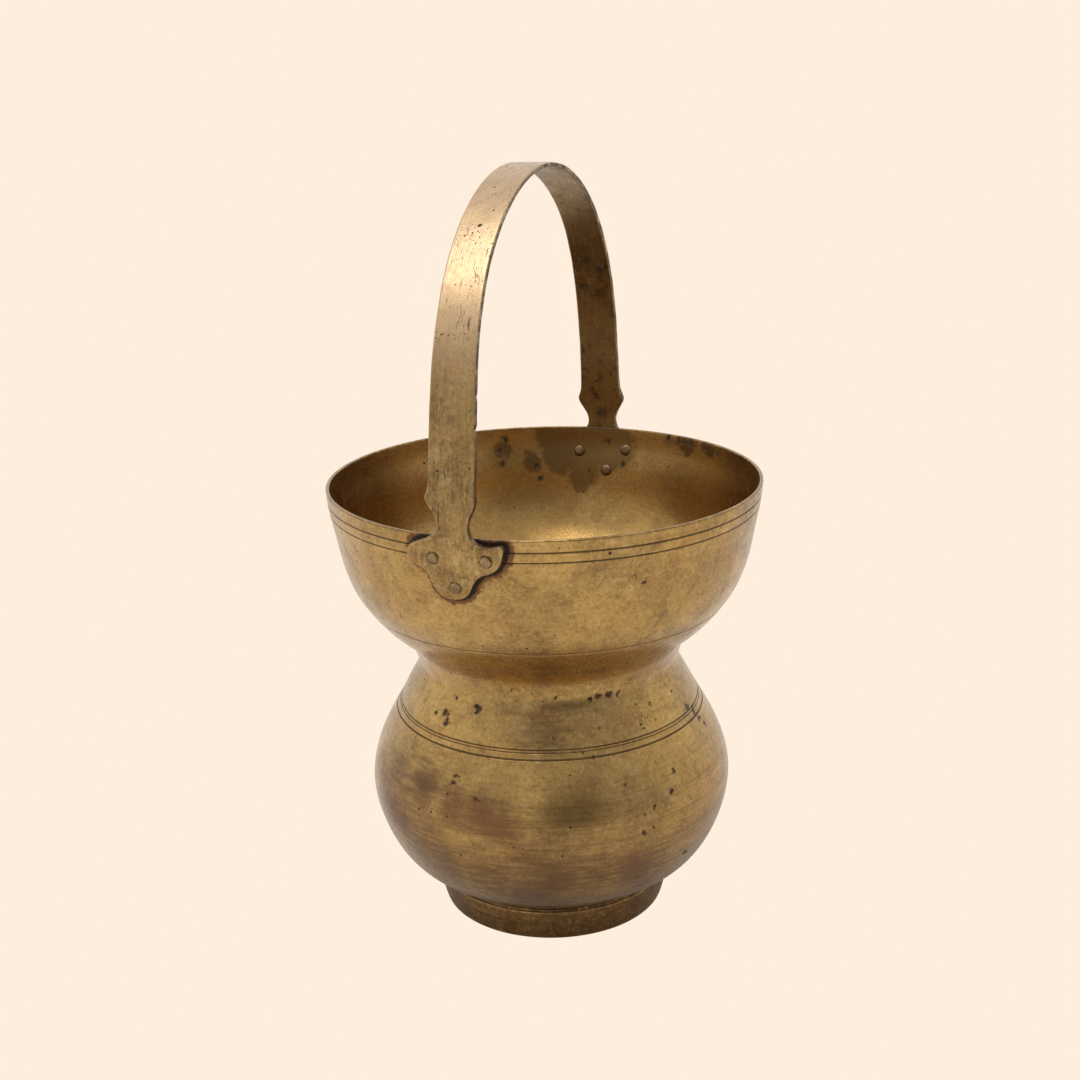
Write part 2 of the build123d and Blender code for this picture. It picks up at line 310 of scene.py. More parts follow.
def bead_lumps(verts):
    return wobble(verts, 3.2, 5) * 0.16 + wobble(verts, 12.0, 6) * 0.12 - 0.15


def make_bead():
    t = np.linspace(0, 2 * np.pi, 16, endpoint=False)
    profile = np.c_[FOOT_HIGH - BRAZE + 0.45 + 0.62 * np.cos(t), FOOT_HEIGHT + 0.35 + 0.75 * np.sin(t)]
    return lathe("foot_bead", profile, ring_marks(len(t), 0.9), all_round(0.5), bead_lumps)


seam, foot, bead = make_seam(), make_foot(), make_bead()

# ---- Handle -------------------------------------------------------------------------------------
# The outer face's line is walked from the front tang over the arch to the back tang. The cut edges
# go from the arch down over knop, neck and ear, as (across from the strap's centre line, height).
# They were cut by hand, so no two are alike; the back tang sits a little lower.
out_line, out_length = spline([(-y, z) for y, z in STRAP_OUT] + [CROWN_OUT] + STRAP_OUT[::-1])
in_line, in_length = spline([(-y, z) for y, z in STRAP_IN] + [CROWN_IN] + STRAP_IN[::-1])
walk = np.linspace(0, out_length, 6000)
walk_points = out_line(walk)
KNOP_TOP = 224.0  # the rows are closer below this height
TANG_ROWS, STRAP_ROWS, ARCH_ROWS = 300, 110, 170
FRONT_RIGHT = [
    (8.1, 300.0), (8.3, 284.0), (8.8, 266.0), (9.3, 250.0), (9.6, 238.0), (9.5, 224.0), (9.2, 211.0),
    (9.0, 205.8), (9.1, 202.3), (8.2, 199.0), (6.9, 196.2), (6.2, 193.4), (6.5, 190.3), (7.8, 187.8),
    (10.4, 186.2), (14.4, 185.7), (17.6, 186.4), (18.9, 185.9), (18.8, 183.4), (18.0, 180.4), (16.4, 177.6),
    (13.8, 175.5), (10.8, 174.4), (8.3, 172.9), (6.4, 170.4), (5.1, 167.8), (3.2, 165.3), (0.8, 163.9),
    (-1.6, 163.5)]
FRONT_LEFT = [
    (-8.1, 300.0), (-7.9, 284.0), (-7.8, 266.0), (-7.8, 250.0), (-7.9, 238.0), (-8.2, 227.0), (-8.6, 216.0),
    (-9.0, 208.6), (-9.6, 205.6), (-10.3, 203.4), (-9.5, 201.2), (-7.8, 198.7), (-6.4, 196.1),
    (-5.9, 193.4), (-6.8, 190.7), (-9.2, 188.6), (-13.0, 186.9), (-16.8, 185.3), (-18.7, 183.4),
    (-18.8, 180.9), (-17.6, 178.4), (-15.2, 176.6), (-12.5, 175.3), (-10.9, 173.4), (-10.3, 170.7),
    (-9.2, 167.7), (-7.4, 165.3), (-4.8, 163.9), (-1.6, 163.5)]
BACK_RIGHT = [
    (8.1, 300.0), (8.2, 284.0), (8.4, 268.0), (8.6, 250.0), (8.7, 232.0), (8.9, 216.0), (9.2, 208.5),
    (9.9, 204.6), (10.9, 201.6), (10.1, 199.0), (8.6, 196.2), (7.4, 193.4), (7.1, 190.8), (7.9, 188.0),
    (9.9, 185.8), (13.4, 184.2), (17.0, 182.7), (18.6, 180.5), (18.4, 178.0), (17.0, 175.6), (14.4, 173.8),
    (11.6, 172.5), (10.1, 170.4), (9.4, 167.7), (8.0, 164.7), (5.7, 162.4), (2.8, 161.2), (0.2, 160.9)]
BACK_LEFT = [
    (-8.1, 300.0), (-8.3, 284.0), (-8.6, 268.0), (-8.9, 250.0), (-8.9, 232.0), (-8.8, 216.0), (-9.0, 208.5),
    (-9.6, 204.4), (-10.4, 201.3), (-9.4, 198.7), (-7.6, 196.0), (-6.2, 193.2), (-5.8, 190.6),
    (-6.7, 187.8), (-9.4, 185.6), (-13.4, 184.1), (-17.0, 182.9), (-18.6, 180.9), (-18.4, 178.2),
    (-17.0, 175.2), (-14.4, 173.1), (-11.6, 171.9), (-9.4, 170.2), (-8.2, 167.6), (-6.4, 164.4),
    (-3.8, 161.9), (0.2, 160.9)]
FRONT_NICKS = [(229.0, 0.55, 1.1), (241.0, 0.35, 0.8)]  # (height, depth, half width) above the right knop


def even(line, count):
    """The line again with evenly spaced points."""
    d = np.r_[0, np.cumsum(np.linalg.norm(np.diff(line, axis=0), axis=1))]
    u = np.linspace(0, d[-1], count)
    return np.c_[np.interp(u, d, line[:, 0]), np.interp(u, d, line[:, 1])]


def cut_edge(points, back=False):
    """One cut edge from the arch down to the lobe, as (across, distance along the strap)."""
    curve, length = spline(points)
    edge = curve(np.linspace(0, length, 4000))
    front_half = walk <= out_length / 2
    if back:
        height, along = walk_points[~front_half, 1][::-1], walk[~front_half][::-1]
    else:
        height, along = walk_points[front_half, 1], walk[front_half]
    high = edge[:, 1] > KNOP_TOP
    edge = np.c_[edge[:, 0], np.interp(edge[:, 1], height, along)]
    return np.vstack([even(edge[high], STRAP_ROWS), even(edge[~high], TANG_ROWS)])


front_right, front_left = cut_edge(FRONT_RIGHT)[::-1], cut_edge(FRONT_LEFT)[::-1]
back_right, back_left = cut_edge(BACK_RIGHT, True), cut_edge(BACK_LEFT, True)
arch = np.linspace(front_right[-1, 1], back_right[0, 1], ARCH_ROWS)[1:-1]
over = np.full(len(arch), STRAP_HALF_WIDTH)
right_edge = np.vstack([front_right, np.c_[over, arch], back_right])
left_edge = np.vstack([front_left, np.c_[-over, arch], back_left])
rows = len(right_edge)

# The edges waver, less where the lobe's end narrows.
open_width = np.clip((right_edge[:, 0] - left_edge[:, 0]) / 8, 0, 1)
right_edge[:, 0] -= (wobble(np.c_[right_edge, np.zeros(rows)], 9.0, 7) * 0.1 + 0.08) * open_width
left_edge[:, 0] += (wobble(np.c_[left_edge, np.ones(rows)], 7.0, 8) * 0.1 + 0.08) * open_width
for z, depth, width in FRONT_NICKS:
    place = np.interp(z, walk_points[:2000, 1], walk[:2000])
    right_edge[:, 0] -= depth * bump_at(right_edge[:, 1], place, width)


def strap_points(line, share, depth):
    """Points of the handle from (across, along its outer line): share 0 is the outer face and 1 the
    inner one, and depth is in millimetres from there towards the inner side."""
    across, along = line.T
    outer = out_line(along)
    inner = in_line(along / out_length * in_length)
    inward = (inner - outer) / np.linalg.norm(inner - outer, axis=1)[:, None]
    point = outer + (inner - outer) * share + inward * depth[:, None]
    near_wall = np.clip((194.0 - point[:, 1]) / 10.0, 0, 1)  # the tangs bend round with the bowl's wall
    sag = 0.5 * (RIM_RADIUS - np.sqrt(np.maximum(RIM_RADIUS**2 - across**2, 0))) * near_wall
    return np.c_[across + HANDLE_SHIFT, point[:, 0] - np.sign(point[:, 0]) * sag, point[:, 1]]


# The strap's section, as lines that run its whole length: up the rounded left corner, across the
# outer face, round the right side, across the inner face, and back to the left side.
ROUND, FACE_LINES = 0.5, 32
round_turn = np.linspace(0, np.pi / 2, 5)  # from the side to a face
across_face = np.linspace(0, 1, FACE_LINES + 2)[1:-1]
round_r = np.minimum(ROUND, 0.35 * np.abs(right_edge[:, 0] - left_edge[:, 0]) + 0.01)
right_in, left_in = normals_2d(right_edge), -normals_2d(left_edge)
left_flat, right_flat = left_edge + left_in * round_r[:, None], right_edge + right_in * round_r[:, None]


def corner_lines(edge, inwards, share, order):
    """Lines round the corner between a cut side and a face, for strap_points."""
    return [(edge + inwards * (round_r * (1 - math.cos(a)))[:, None], share,
             (1 - 2 * share) * round_r * (1 - math.sin(a))) for a in order]


def face_lines(share, order):
    """Lines across a face, from the left edge at 0 to the right one at 1, for strap_points."""
    return [(left_flat * (1 - c) + right_flat * c, share, np.zeros(rows)) for c in order]


section = (corner_lines(left_edge, left_in, 0, round_turn) + face_lines(0, across_face)
           + corner_lines(right_edge, right_in, 0, round_turn[::-1])
           + corner_lines(right_edge, right_in, 1, round_turn) + face_lines(1, across_face[::-1])
           + corner_lines(left_edge, left_in, 1, round_turn[::-1]))
per_row = len(section)
handle_points = np.stack([strap_points(*line) for line in section], axis=1).reshape(-1, 3)

# Marks along the section: worn edges on the outer corners, both sides, and the inner face.
to_face = np.sin(round_turn)
corner_edge, corner_side = 1 - 0.9 * np.abs(to_face - 0.7), 1 - to_face
blank = np.zeros(FACE_LINES)
handle_marks = {
    "edge": np.r_[corner_edge, blank, corner_edge[::-1], np.zeros(per_row // 2)],
    "side": np.tile(np.r_[corner_side, blank, corner_side[::-1]], 2),
    "inner": np.repeat([0.0, 1.0], per_row // 2),
}

# Forged unevenness, pulled towards the middle of the arch so that nothing stands out further.
centre = np.array([HANDLE_SHIFT, 0.0, 215.0])
pull = centre - handle_points
pull[:, 0] = 0
pull /= np.linalg.norm(pull, axis=1)[:, None]
hammer = wobble(handle_points, 15.0, 9) * 0.1 + wobble(handle_points, 5.0, 10) * 0.03
handle_points = handle_points + pull * (hammer + 0.12)[:, None]
first_row = tuple(range(per_row))
end_faces = [first_row[::-1], tuple((rows - 1) * per_row + j for j in first_row)]
handle = make_mesh("handle", handle_points, grid_faces(rows, per_row, False) + end_faces,
                   {key: np.tile(mark, rows) for key, mark in handle_marks.items()})


# How far each point of the bowl lies outside the tang's outline, for the rust and dirt that gather
# there and the painted shade of the gap behind the tang.
def tang_loop(right, left):
    """Closed outline of a tang across and above the table."""
    loop = np.vstack([right[::3], left[::3][::-1]])
    return np.c_[loop[:, 0] + HANDLE_SHIFT, np.interp(loop[:, 1], walk, walk_points[:, 1])]


def outside_loop(points, loop):
    """Distance from each 2-D point to a closed loop, 0 inside it."""
    a, b = loop, np.roll(loop, -1, axis=0)
    ab = b - a
    ap = points[:, None] - a[None]
    t = np.clip((ap * ab).sum(2) / np.maximum((ab * ab).sum(1), 1e-9), 0, 1)
    d = np.linalg.norm(ap - t[..., None] * ab, axis=2).min(1)
    up = (a[:, 1] > points[:, None, 1]) != (b[:, 1] > points[:, None, 1])
    rise = np.where(np.abs(ab[:, 1]) < 1e-9, 1e-9, ab[:, 1])
    x = a[:, 0] + (points[:, None, 1] - a[:, 1]) * ab[:, 0] / rise
    odd = (up & (points[:, None, 0] < x)).sum(1) % 2 == 1
    return np.where(odd, 0.0, d)


FAR_FROM_TANG = 12.0
bowl_points = np.empty(len(bowl.data.vertices) * 3, np.float32)
bowl.data.vertices.foreach_get("co", bowl_points)
bowl_points = bowl_points.reshape(-1, 3) / MM
tang_mark = np.full(len(bowl_points), FAR_FROM_TANG)
around = (np.abs(bowl_points[:, 0] - HANDLE_SHIFT) < 32) & (bowl_points[:, 2] > 148)
for facing, loop in ((-1, tang_loop(right_edge[:TANG_ROWS], left_edge[:TANG_ROWS])),
                     (1, tang_loop(right_edge[-TANG_ROWS:], left_edge[-TANG_ROWS:]))):
    near = around & (facing * bowl_points[:, 1] > 60)
    tang_mark[near] = np.minimum(outside_loop(bowl_points[near][:, [0, 2]], loop), FAR_FROM_TANG)
add_mark(bowl.data, "tang", tang_mark)


# ---- Rivets -------------------------------------------------------------------------------------
RIVET_SIDES = 40


def rivet(name, facing, spot, seed):
    """A rivet from its peened end on the tang, through the wall, to the round head inside the bowl."""
    side = -1 if facing == "front" else 1
    across, height, face, wall = RIVETS[facing, spot]
    grip = face - math.sqrt(wall**2 - across**2)  # tang and wall together
    dome = np.linspace(0, np.pi / 2, 9)
    peen = [(RIVET_RADIUS * math.sin(q), PROUD * (0.45 + 0.55 * math.cos(q)) - 0.02) for q in dome]
    shank = [(RIVET_RADIUS, -0.2), (RIVET_RADIUS, -grip + 0.2)]
    under = [(HEAD_RADIUS - 0.1, -grip + 0.1), (HEAD_RADIUS, -grip - 0.2)]
    head = [(HEAD_RADIUS * math.cos(q) ** 0.8, -grip - 0.2 - (HEAD_HEIGHT - 0.25) * math.sin(q))
            for q in dome[1:]]
    line = peen + shank + under + head
    out_axis = Vector((0, side * math.cos(LEAN), -math.sin(LEAN)))
    x_axis = Vector((1, 0, 0))
    z_axis = out_axis.cross(x_axis)
    origin = Vector((across, side * face, height))
    verts, marks = [], []
    for r, d in line[1:-1]:
        for q in np.linspace(0, 2 * np.pi, RIVET_SIDES, endpoint=False):
            x, z = math.cos(q) * r, math.sin(q) * r
            lump = 0.05 * noise.noise(Vector((x * 0.6 + seed, z * 0.6, d * 0.4))) - 0.03
            facet = 0.09 * abs(noise.noise(Vector((x + 3 * seed, z, d))))
            verts.append(origin + (x_axis * x + z_axis * z) * (1 + lump) + out_axis * (d - facet))
            marks.append(1.0 if d < -0.3 else 0.0)
    rings = len(line) - 2
    faces = [(a, d, c, b) for a, b, c, d in grid_faces(rings, RIVET_SIDES, False)]
    outer_end, inner_end = len(verts), len(verts) + 1
    last = (rings - 1) * RIVET_SIDES
    for j in range(RIVET_SIDES):
        k = (j + 1) % RIVET_SIDES
        faces += [(outer_end, j, k), (inner_end, last + k, last + j)]
    verts += [origin + out_axis * (line[0][1] - 0.03), origin + out_axis * line[-1][1]]
    marks += [0.0, 1.0]
    return make_mesh(name, verts, faces, {"inner": marks})


rivets = {f"rivet_{facing}_{spot}": rivet(f"peened_{facing}_{spot}", facing, spot, 1.7 + n)
          for n, (facing, spot) in enumerate(RIVETS)}


# ---- Materials ----------------------------------------------------------------------------------
class Shade:
    """A material under construction: short calls that each add a node and return its output."""

    def __init__(self, name):
        self.material = bpy.data.materials.new(name)
        self.material.use_nodes = True
        self.tree = self.material.node_tree
        self.tree.nodes.clear()
        self.out = self.tree.nodes.new("ShaderNodeOutputMaterial")
        self.bsdf = self.tree.nodes.new("ShaderNodeBsdfPrincipled")
        self.link(self.bsdf.outputs[0], self.out.inputs[0])
        coord = self.tree.nodes.new("ShaderNodeTexCoord")
        self.pos = self.scaled(coord.outputs["Object"], (1000, 1000, 1000))

    def link(self, a, b):
        self.tree.links.new(a, b)

    def feed(self, socket, value):
        if isinstance(value, bpy.types.NodeSocket):
            self.link(value, socket)
        else:
            socket.default_value = value

    def vector(self, op, a, b=None):
        n = self.tree.nodes.new("ShaderNodeVectorMath")
        n.operation = op
        self.feed(n.inputs[0], a)
        if b is not None:
            self.feed(n.inputs[1], b)
        return n.outputs["Value" if op in ("DISTANCE", "LENGTH", "DOT_PRODUCT") else "Vector"]

    def scaled(self, vec, by):
        return self.vector("MULTIPLY", vec, by)

    def math(self, op, a, b, clamp=False):
        n = self.tree.nodes.new("ShaderNodeMath")
        n.operation = op
        n.use_clamp = clamp
        self.feed(n.inputs[0], a)
        self.feed(n.inputs[1], b)
        return n.outputs[0]

    def times(self, a, b, clamp=False):
        return self.math("MULTIPLY", a, b, clamp)

    def plus(self, a, b, clamp=False):
        return self.math("ADD", a, b, clamp)

    def minus(self, a, b):
        return self.math("SUBTRACT", a, b)

    def most(self, a, b, clamp=False):
        return self.math("MAXIMUM", a, b, clamp)

    def noise(self, size, detail, rough, stretch=(1, 1, 1), warp=0.0, seed=0):
        """Noise from 0 to 1 whose features are about size millimetres."""
        n = self.tree.nodes.new("ShaderNodeTexNoise")
        v = self.scaled(self.pos, tuple(s / size for s in stretch))
        v = self.vector("ADD", v, (seed * 7.3, seed * 3.1, seed * 5.7))
        self.link(v, n.inputs["Vector"])
        n.inputs["Scale"].default_value = 1.0
        n.inputs["Detail"].default_value = detail
        n.inputs["Roughness"].default_value = rough
        n.inputs["Distortion"].default_value = warp
        return n.outputs["Fac"]

    def cells(self, size):
        """Cells of about size millimetres: the distance to each one's middle, and its own number."""
        n = self.tree.nodes.new("ShaderNodeTexVoronoi")
        n.feature = "F1"
        self.link(self.scaled(self.pos, (1 / size,) * 3), n.inputs["Vector"])
        n.inputs["Scale"].default_value = 1.0
        return n.outputs["Distance"], n.outputs["Color"]

    def step(self, value, low, high):
        """0 below low, 1 above high (or the other way round if low is above high)."""
        n = self.tree.nodes.new("ShaderNodeMapRange")
        n.interpolation_type = "SMOOTHSTEP"
        self.feed(n.inputs["Value"], value)
        if low < high:
            n.inputs["From Min"].default_value, n.inputs["From Max"].default_value = low, high
        else:
            n.inputs["From Min"].default_value, n.inputs["From Max"].default_value = high, low
            n.inputs["To Min"].default_value, n.inputs["To Max"].default_value = 1.0, 0.0
        return n.outputs["Result"]

    def span(self, value, low, high):
        """0 to 1, stretched to low to high."""
        n = self.tree.nodes.new("ShaderNodeMapRange")
        self.feed(n.inputs["Value"], value)
        n.inputs["To Min"].default_value, n.inputs["To Max"].default_value = low, high
        return n.outputs["Result"]

    def mix(self, fac, a, b):
        n = self.tree.nodes.new("ShaderNodeMix")
        n.data_type = "RGBA"
        self.feed(n.inputs[0], fac)
        for socket, value in ((n.inputs[6], a), (n.inputs[7], b)):
            self.feed(socket, value if isinstance(value, bpy.types.NodeSocket) else (*value, 1.0))
        return n.outputs[2]

    def stained(self, color, where, amount, other):
        """The colour, with that share of another one where the mask is 1."""
        return self.mix(self.times(where, amount), color, other)

    def attribute(self, name):
        n = self.tree.nodes.new("ShaderNodeAttribute")
        n.attribute_name = name
        return n.outputs["Fac"]

    def height(self):
        n = self.tree.nodes.new("ShaderNodeSeparateXYZ")
        self.link(self.pos, n.inputs[0])
        return n.outputs["Z"]

    def pushed(self, size, reach):
        """The position, pushed about by coloured noise of that size, over reach from end to end."""
        n = self.tree.nodes.new("ShaderNodeTexNoise")
        self.link(self.scaled(self.pos, (1 / size,) * 3), n.inputs["Vector"])
        n.inputs["Scale"].default_value = 1.0
        n.inputs["Detail"].default_value = 3.0
        push = self.scaled(self.vector("SUBTRACT", n.outputs["Color"], (0.5, 0.5, 0.5)), reach)
        return self.vector("ADD", self.pos, push)

    def spots(self, places, at, outer, full):
        """1 at the marks, which are (place, size), and 0 away from them; the mask starts at outer
        sizes from a mark's place and is full at full sizes."""
        nearest = None
        for place, size in places:
            d = self.math("DIVIDE", self.vector("DISTANCE", at, place), size)
            nearest = d if nearest is None else self.math("MINIMUM", nearest, d)
        return self.step(nearest, outer, full)

    def bumped(self, layers):
        """A chain of bumps: (height, how deep in millimetres)."""
        normal = None
        for value, depth in layers:
            n = self.tree.nodes.new("ShaderNodeBump")
            n.inputs["Strength"].default_value = 1.0
            n.inputs["Distance"].default_value = depth * MM
            self.link(value, n.inputs["Height"])
            if normal is not None:
                self.link(normal, n.inputs["Normal"])
            normal = n.outputs[0]
        self.link(normal, self.bsdf.inputs["Normal"])


GOLD, OLIVE, BROWN = (0.52, 0.325, 0.105), (0.375, 0.236, 0.082), (0.165, 0.086, 0.030)
BLACK, RUST, PALE = (0.022, 0.013, 0.007), (0.17, 0.066, 0.024), (0.66, 0.46, 0.20)
COPPER, FILM, CRUST = (0.36, 0.16, 0.055), (0.038, 0.025, 0.014), (0.09, 0.05, 0.024)
LOW_DARK_TONE, SMEAR, BLOT = (0.15, 0.080, 0.036), (0.085, 0.045, 0.022), (0.075, 0.042, 0.022)
HALO, INSIDE = (0.11, 0.036, 0.013), (0.46, 0.265, 0.082)
# A painted highlight's colour, for the top of the strap's arch.
PAINTED_HIGHLIGHT = (0.76, 0.55, 0.37)

# Marks on the turned walls, each ((azimuth, height, wall radius), size): the azimuth is in degrees
# from the front towards +X.
BOWL_SPOTS = [
    ((-149, 183, 88), 2.2), ((-147.5, 178, 87.4), 2.4), ((-147.8, 172, 86), 2.2),
    ((-156, 176, 87), 2.2), ((-158.5, 170, 85.5), 2.6), ((-159.5, 164.5, 84.2), 1.8),
    ((-172, 178, 87.4), 2.4), ((179, 182, 88), 2.4), ((-175, 168, 85), 1.8), ((174, 172, 86), 1.5),
    ((159, 185.4, 88.3), 2.4), ((155, 185.6, 88.3), 2.4), ((151, 185.4, 88.3), 2.6),
    ((145, 185.2, 88.3), 2.4), ((139, 184.8, 88.3), 2.2), ((125, 169, 85.2), 1.8),
    ((121, 175, 86.8), 2), ((40, 110.8, 55.2), 1.7), ((44.5, 111.2, 55.2), 1.8),
    ((36, 110.4, 55.3), 1.2), ((22, 112.5, 55.5), 0.9), ((4.2, 115.5, 56.5), 0.9),
    # Near 187 high, from -12 to 8.5 degrees: painted shade and dirt in the gap beside the tang's ears.
    ((12, 114.5, 56.2), 0.8), ((49, 110.6, 55.3), 1.0), ((3.5, 187, 89.9), 2.2),
    ((6, 186.6, 89.9), 2.4), ((8.5, 187, 89.9), 2.0), ((-9, 186.5, 89.8), 2.2),
    ((-12, 185.6, 89.8), 1.6), ((41, 171, 87.3), 1.0), ((44, 168, 86.6), 1.0), ((-30, 181, 89.2), 0.9),
]
BELLY_SPOTS = [
    ((-25.9, 101.5, 59.3), 2.0), ((-23.8, 98.3, 60.9), 1.6), ((-12, 104.5, 57.6), 1.0),
    ((-22.7, 107.5, 55.9), 1.0), ((-11.1, 106, 56.7), 1.5), ((-31, 100, 60), 0.9),
    ((-13.5, 81.5, 70.6), 1.1), ((-14, 78.5, 71.7), 1.4), ((-5.6, 74.8, 73.3), 1.1),
    ((84, 95, 62.6), 1.5), ((87, 92, 64.5), 1.7), ((88, 88.5, 66.5), 1.6), ((90, 85, 68.4), 1.4),
    ((62.4, 78.1, 72), 1.2), ((43, 78.8, 71.6), 1.0), ((59, 71.3, 74.6), 1.2), ((48, 66.3, 76), 0.9),
    ((52, 68, 75.6), 1.0), ((47.6, 59.1, 76.9), 1.2), ((51, 60, 76.9), 1.0), ((67, 39.6, 72.9), 1.5),
    ((63, 103, 58.4), 1.0), ((56, 104, 58), 0.8), ((30, 92, 64), 0.8), ((34, 90, 65.5), 0.9),
    ((8, 58, 76.9), 0.8), ((-10, 50, 76), 0.9), ((38, 100, 60), 0.8), ((20, 98, 61), 0.7),
]
RED_STAINS = [
    ((-11, 71, 74.5), 8), ((-3, 69.3, 75.2), 9), ((4, 67.2, 75.6), 8), ((-24, 73, 74), 8),
    ((20, 40, 73), 8), ((44, 44, 74.5), 8), ((-36, 56, 77), 9), ((12, 33, 69.5), 8),
]
SMEARS = [
    ((-37, 72, 74.5), 12), ((-27, 78, 71.7), 9), ((-45, 60, 76.8), 12), ((17, 48, 75.7), 13),
    ((30, 44, 74.5), 12), ((-17, 44, 74.6), 12), ((-2, 40, 73), 12), ((-28, 50, 76), 12),
    ((48, 38, 72), 10), ((14, 33, 69.5), 13), ((-55, 44, 74.5), 14), ((16, 99, 60.5), 9),
]
GRIME = [
    ((-174, 174, 86.5), 9), ((-168, 181, 88), 9), ((-177, 182, 88), 10), ((177, 180, 88), 9),
    ((-173, 165, 84.3), 5), ((-162, 183, 88), 5), ((-166, 173, 86.4), 6), ((179, 173, 86.2), 5),
    ((-148, 178, 87.4), 3.2), ((-157.5, 172, 86), 3.6), ((152, 185.6, 88.3), 4),
    ((143, 185.2, 88.3), 3.4),
]

# Marks on the strap, each ((x, y, z), size).
STRAP_MARKS = [
    ((-6, 91.5, 232), 2.6), ((-9, 92, 214), 2.0), ((2.5, 92.5, 206), 2.6), ((4.5, 92.5, 203), 2.2),
    ((-6, 92.5, 204), 2.2), ((-3, 92, 195), 3.4), ((2.5, 92, 198), 1.8), ((-8, 84, 254), 2.4),
    ((1, 80, 262), 2.2), ((-5, 77, 266), 2.0), ((3.8, 88, 240), 1.6), ((-2, 60, 291), 1.8),
]


def on_wall(places):
    """Marks on a turned wall, as ((x, y, z), size)."""
    result = []
    for (azimuth, height, radius), size in places:
        a = math.radians(azimuth)
        result.append(((radius * math.sin(a), -radius * math.cos(a), height), size))
    return result


def bare_metal(s, light, mid, dark, pale, lined):
    """Colour of the metal itself: clouds, mottling, grit, and the lines of its working."""
    color = s.mix(s.step(s.noise(30, 4, 0.62, seed=11), 0.38, 0.62), mid, light)
    color = s.stained(color, s.step(s.mottle, 0.50, 0.70), 0.5, dark)
    color = s.stained(color, s.step(s.mottle, 0.46, 0.30), 0.52, pale)
    color = s.stained(color, s.step(s.noise(19, 5, 0.6, seed=15), 0.50, 0.66), 0.30, COPPER)
    color = s.stained(color, s.step(s.grit, 0.50, 0.68), 0.50, dark)
    color = s.stained(color, s.step(s.grit, 0.48, 0.34), 0.46, pale)
    color = s.stained(color, s.step(s.wide_streak, 0.48, 0.66), s.times(lined, 0.9), dark)
    return s.stained(color, s.step(s.streak, 0.50, 0.66), lined, dark)


def pits(s, amount):
    """Small black pits, crowded in patches."""
    crowd = s.noise(14, 5, 0.65, seed=6)
    size = s.plus(0.07 * amount, s.times(s.step(crowd, 0.44, 0.68), 0.32 * amount))
    holes = []
    for cell, fewer, low, high in ((2.3, 0.55, -0.02, 0.05), (0.9, 0.50, -0.03, 0.06)):
        distance, number = s.cells(cell)
        holes.append(s.step(s.minus(s.times(size, s.step(number, fewer, 1.0)), distance), low, high))
    return s.most(holes[0], s.times(holes[1], 0.85))


def wall_stains(s, color):
    """Reddish stains, the darker underside of the belly, smears and the film inside the bowl."""
    torn = s.noise(4.6, 8, 0.72, seed=8, stretch=(0.22, 0.22, 1.7), warp=0.25)
    near = s.spots(on_wall(RED_STAINS), s.pushed(11.0, (16, 16, 7)), 1.9, 0.0)
    reddish = s.step(s.plus(s.times(near, 0.5), torn), 0.60, 1.0)
    color = s.stained(color, reddish, 0.78, RUST)
    # The belly darker towards the bottom.
    low = s.times(s.step(s.height(), 100, 30), s.span(s.wide_streak, 0.2, 1.3), clamp=True)
    color = s.stained(color, low, 0.62, LOW_DARK_TONE)
    near = s.spots(on_wall(SMEARS), s.pushed(9.0, (14, 14, 5)), 2.2, 0.0)
    torn = s.noise(3.4, 8, 0.74, seed=18, stretch=(0.28, 0.28, 1.6))
    color = s.stained(color, s.step(s.plus(s.times(near, 0.34), torn), 0.52, 0.92), 0.6, SMEAR)
    near = s.spots(on_wall(GRIME), s.pushed(6.0, (9, 9, 9)), 1.7, 0.4)
    film = s.step(s.plus(s.times(near, 0.75), s.times(s.noise(4.0, 7, 0.7, seed=21), 0.6)), 0.30, 0.76)
    return s.stained(color, film, s.times(s.inner, 0.88), FILM), reddish


def tarnish_and_shade_marks(s, color, black, marks):
    """Crusted marks, and some of painted shade: brown round the edge and black in the middle."""
    near = s.spots(marks, s.pushed(2.4, (4.5, 4.5, 4.5)), 1.9, 0.1)
    field = s.plus(s.times(near, 0.62), s.torn)
    color = s.stained(color, s.step(field, 0.66, 0.98), 0.8, CRUST)
    return color, s.most(black, s.times(s.step(field, 0.88, 1.12), 0.9))


def strap_wear_and_highlight(s, color, black, seats):
    """Dirt round the rivets, lengthwise cracks, flecks, blots and a painted highlight on the arch."""
    ring = s.times(s.step(s.torn, 0.34, 0.6), s.spots([(seat, 1.0) for seat in seats], s.pos, 3.1, 2.4))
    cracks = s.step(s.noise(1.1, 5, 0.75, stretch=(1.9, 0.14, 0.14), seed=31), 0.575, 0.65)
    where = s.step(s.noise(17, 4, 0.6, seed=32), 0.42, 0.62)
    flecks = s.step(s.noise(1.3, 5, 0.75, stretch=(1.0, 0.5, 0.5), seed=33), 0.615, 0.70)
    for dirt, amount in ((ring, 0.8), (cracks, where), (flecks, 0.8)):
        black = s.most(black, s.times(dirt, amount))
    blots = s.step(s.noise(6.5, 7, 0.74, seed=34), 0.51, 0.68)
    color = s.stained(color, blots, s.span(s.inner, 0.35, 0.9), BLOT)
    # Painted highlight: the strap's outer face paler towards the top of the arch.
    painted_highlight = s.times(s.step(s.height(), 234, 276), s.span(s.mottle, 0.2, 1.3), clamp=True)
    return s.stained(color, s.times(painted_highlight, s.minus(1.0, s.inner)), 0.7, PAINTED_HIGHLIGHT), black


